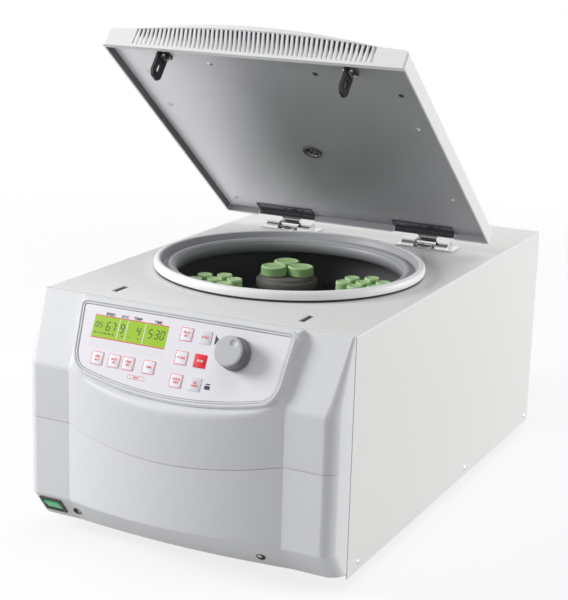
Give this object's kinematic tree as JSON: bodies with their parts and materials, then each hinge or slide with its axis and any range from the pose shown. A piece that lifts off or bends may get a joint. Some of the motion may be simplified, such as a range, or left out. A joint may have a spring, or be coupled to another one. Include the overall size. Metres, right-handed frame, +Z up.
{
  "type": "bench centrifuge",
  "caption": "Refrigerated bench centrifuge with an open hinged lid, a swing-out rotor with capped tubes, a sloping control panel with a turning knob, and a power rocker.",
  "frame": {"origin": "on the floor under the middle of the bounding box, lid open", "axes": "+X to the machine's right as its user faces it, +Y to its back, +Z up"},
  "size_m": [0.43, 0.766, 0.649],
  "materials": {
    "cover_paint": "satin warm white paint",
    "moulding": "fine matt light grey moulding",
    "plated_sheet": "zinc plated sheet",
    "black_plastic": "black moulding",
    "panel_face": "white printed film on a plate",
    "display": "lit green display",
    "board": "green circuit board",
    "foot_rubber": "black rubber",
    "bowl_steel": "brushed stainless steel",
    "gasket_rubber": "pale grey rubber",
    "foam": "insulating foam",
    "motor_steel": "dark motor can",
    "hinge_chrome": "polished plated hinge",
    "compressor_paint": "black painted steel",
    "condenser_metal": "aluminium fins",
    "liner_sheet": "satin grey sheet",
    "port_metal": "turned steel",
    "latch_steel": "blackened steel",
    "bright_steel": "ground steel",
    "rotor_metal": "dark anodised alloy",
    "nut_metal": "turned alloy",
    "bucket_metal": "dark anodised alloy",
    "tube_plastic": "green caps on grey adapters",
    "knob_grey": "satin grey knob",
    "rocker_green": "translucent green rocker",
    "fan_black": "black moulding",
    "key_white": "white key film",
    "key_red": "red key film"
  },
  "bodies": {
    "case": {"cover": "cover_paint", "base_pan": "plated_sheet", "rear_panel": "cover_paint", "mains_inlet": "black_plastic", "deck": "plated_sheet", "front_upper_shell": "moulding", "front_lower_shell": "moulding", "keypad_panel": "panel_face", "display_window": "display", "control_board": "board", "switch_frame": "black_plastic", "foot_front_left": "foot_rubber", "foot_rear_left": "foot_rubber", "foot_front_right": "foot_rubber", "foot_rear_right": "foot_rubber", "bowl": "bowl_steel", "bowl_wall": "bowl_steel", "bowl_neck": "bowl_steel", "bowl_gasket": "gasket_rubber", "insulation": "foam", "motor": "motor_steel", "motor_mount": "foot_rubber", "lock_carrier": "plated_sheet", "hinge_base_left": "hinge_chrome", "hinge_base_right": "hinge_chrome", "compressor": "compressor_paint", "condenser": "condenser_metal"},
    "lid": {"lid_shell": "moulding", "lid_liner": "liner_sheet", "lid_port": "port_metal", "latch_hook_left": "latch_steel", "latch_hook_right": "latch_steel", "hinge_leaf_left": "hinge_chrome", "hinge_leaf_right": "hinge_chrome"},
    "spindle": {"drive_shaft": "bright_steel", "rotor": "rotor_metal", "rotor_nut": "nut_metal"},
    "knob": {"control_knob": "knob_grey"},
    "rocker": {"power_rocker": "rocker_green"},
    "fan": {"fan_wheel": "fan_black"},
    "bolt_left": {"lock_bolt_left": "bright_steel"},
    "bolt_right": {"lock_bolt_right": "bright_steel"},
    "swing_rear": {"bucket_rear": "bucket_metal", "tube_rack_rear": "tube_plastic"},
    "swing_left": {"bucket_left": "bucket_metal", "tube_rack_left": "tube_plastic"},
    "swing_front": {"bucket_front": "bucket_metal", "tube_rack_front": "tube_plastic"},
    "swing_right": {"bucket_right": "bucket_metal", "tube_rack_right": "tube_plastic"},
    "key_run_1_cap": {"key_run_1": "key_white"},
    "key_run_2_cap": {"key_run_2": "key_white"},
    "key_run_3_cap": {"key_run_3": "key_white"},
    "key_run_4_cap": {"key_run_4": "key_white"},
    "key_top_left_cap": {"key_top_left": "key_white"},
    "key_top_right_cap": {"key_top_right": "key_white"},
    "key_middle_left_cap": {"key_middle_left": "key_white"},
    "key_stop_cap": {"key_stop": "key_red"},
    "key_bottom_left_cap": {"key_bottom_left": "key_white"},
    "key_bottom_right_cap": {"key_bottom_right": "key_white"}
  },
  "joints": [
    {"name": "lid_hinge", "type": "hinge", "parent": "case", "child": "lid", "pos_m": [0, 0.182, 0.324], "axis": [1, 0, 0], "range_deg": [0, 38.5]},
    {"name": "rotor_spin", "type": "hinge", "parent": "case", "child": "spindle", "pos_m": [0, -0.046, 0.257], "axis": [0, 0, 1], "continuous": true},
    {"name": "bucket_rear_swing", "type": "hinge", "parent": "spindle", "child": "swing_rear", "pos_m": [-0.04742, 0.04318, 0.257], "axis": [0.8829, 0.4695, 0], "range_deg": [0, 90]},
    {"name": "bucket_left_swing", "type": "hinge", "parent": "spindle", "child": "swing_left", "pos_m": [-0.08918, -0.09342, 0.257], "axis": [-0.4695, 0.8829, 0], "range_deg": [0, 90]},
    {"name": "bucket_front_swing", "type": "hinge", "parent": "spindle", "child": "swing_front", "pos_m": [0.04742, -0.13518, 0.257], "axis": [-0.8829, -0.4695, 0], "range_deg": [0, 90]},
    {"name": "bucket_right_swing", "type": "hinge", "parent": "spindle", "child": "swing_right", "pos_m": [0.08918, 0.00142, 0.257], "axis": [0.4695, -0.8829, 0], "range_deg": [0, 90]},
    {"name": "knob_turn", "type": "hinge", "parent": "case", "child": "knob", "pos_m": [0.07625, -0.33773, 0.28221], "axis": [0, -0.9026, 0.4305], "continuous": true},
    {"name": "key_run_1_press", "type": "slide", "parent": "case", "child": "key_run_1_cap", "axis": [0, 0.9026, -0.4305], "range_m": [0, 0.0005], "stiffness_N_per_m": 2000},
    {"name": "key_run_2_press", "type": "slide", "parent": "case", "child": "key_run_2_cap", "axis": [0, 0.9026, -0.4305], "range_m": [0, 0.0005], "stiffness_N_per_m": 2000},
    {"name": "key_run_3_press", "type": "slide", "parent": "case", "child": "key_run_3_cap", "axis": [0, 0.9026, -0.4305], "range_m": [0, 0.0005], "stiffness_N_per_m": 2000},
    {"name": "key_run_4_press", "type": "slide", "parent": "case", "child": "key_run_4_cap", "axis": [0, 0.9026, -0.4305], "range_m": [0, 0.0005], "stiffness_N_per_m": 2000},
    {"name": "key_top_left_press", "type": "slide", "parent": "case", "child": "key_top_left_cap", "axis": [0, 0.9026, -0.4305], "range_m": [0, 0.0005], "stiffness_N_per_m": 2000},
    {"name": "key_top_right_press", "type": "slide", "parent": "case", "child": "key_top_right_cap", "axis": [0, 0.9026, -0.4305], "range_m": [0, 0.0005], "stiffness_N_per_m": 2000},
    {"name": "key_middle_left_press", "type": "slide", "parent": "case", "child": "key_middle_left_cap", "axis": [0, 0.9026, -0.4305], "range_m": [0, 0.0005], "stiffness_N_per_m": 2000},
    {"name": "key_stop_press", "type": "slide", "parent": "case", "child": "key_stop_cap", "axis": [0, 0.9026, -0.4305], "range_m": [0, 0.0005], "stiffness_N_per_m": 2000},
    {"name": "key_bottom_left_press", "type": "slide", "parent": "case", "child": "key_bottom_left_cap", "axis": [0, 0.9026, -0.4305], "range_m": [0, 0.0005], "stiffness_N_per_m": 2000},
    {"name": "key_bottom_right_press", "type": "slide", "parent": "case", "child": "key_bottom_right_cap", "axis": [0, 0.9026, -0.4305], "range_m": [0, 0.0005], "stiffness_N_per_m": 2000},
    {"name": "rocker_tip", "type": "hinge", "parent": "case", "child": "rocker", "pos_m": [-0.1825, -0.3368, 0.0434], "axis": [1, 0, 0], "range_deg": [-14, 0]},
    {"name": "bolt_right_slide", "type": "slide", "parent": "case", "child": "bolt_right", "axis": [1, 0, 0], "range_m": [0, 0.01]},
    {"name": "bolt_left_slide", "type": "slide", "parent": "case", "child": "bolt_left", "axis": [-1, 0, 0], "range_m": [0, 0.01]},
    {"name": "fan_spin", "type": "hinge", "parent": "case", "child": "fan", "pos_m": [0.082, 0.3147, 0.1183], "axis": [0, 1, 0], "continuous": true}
  ],
  "couplings": [
    {"joint": "bolt_left_slide", "follows": "bolt_right_slide", "ratio": 1}
  ]
}
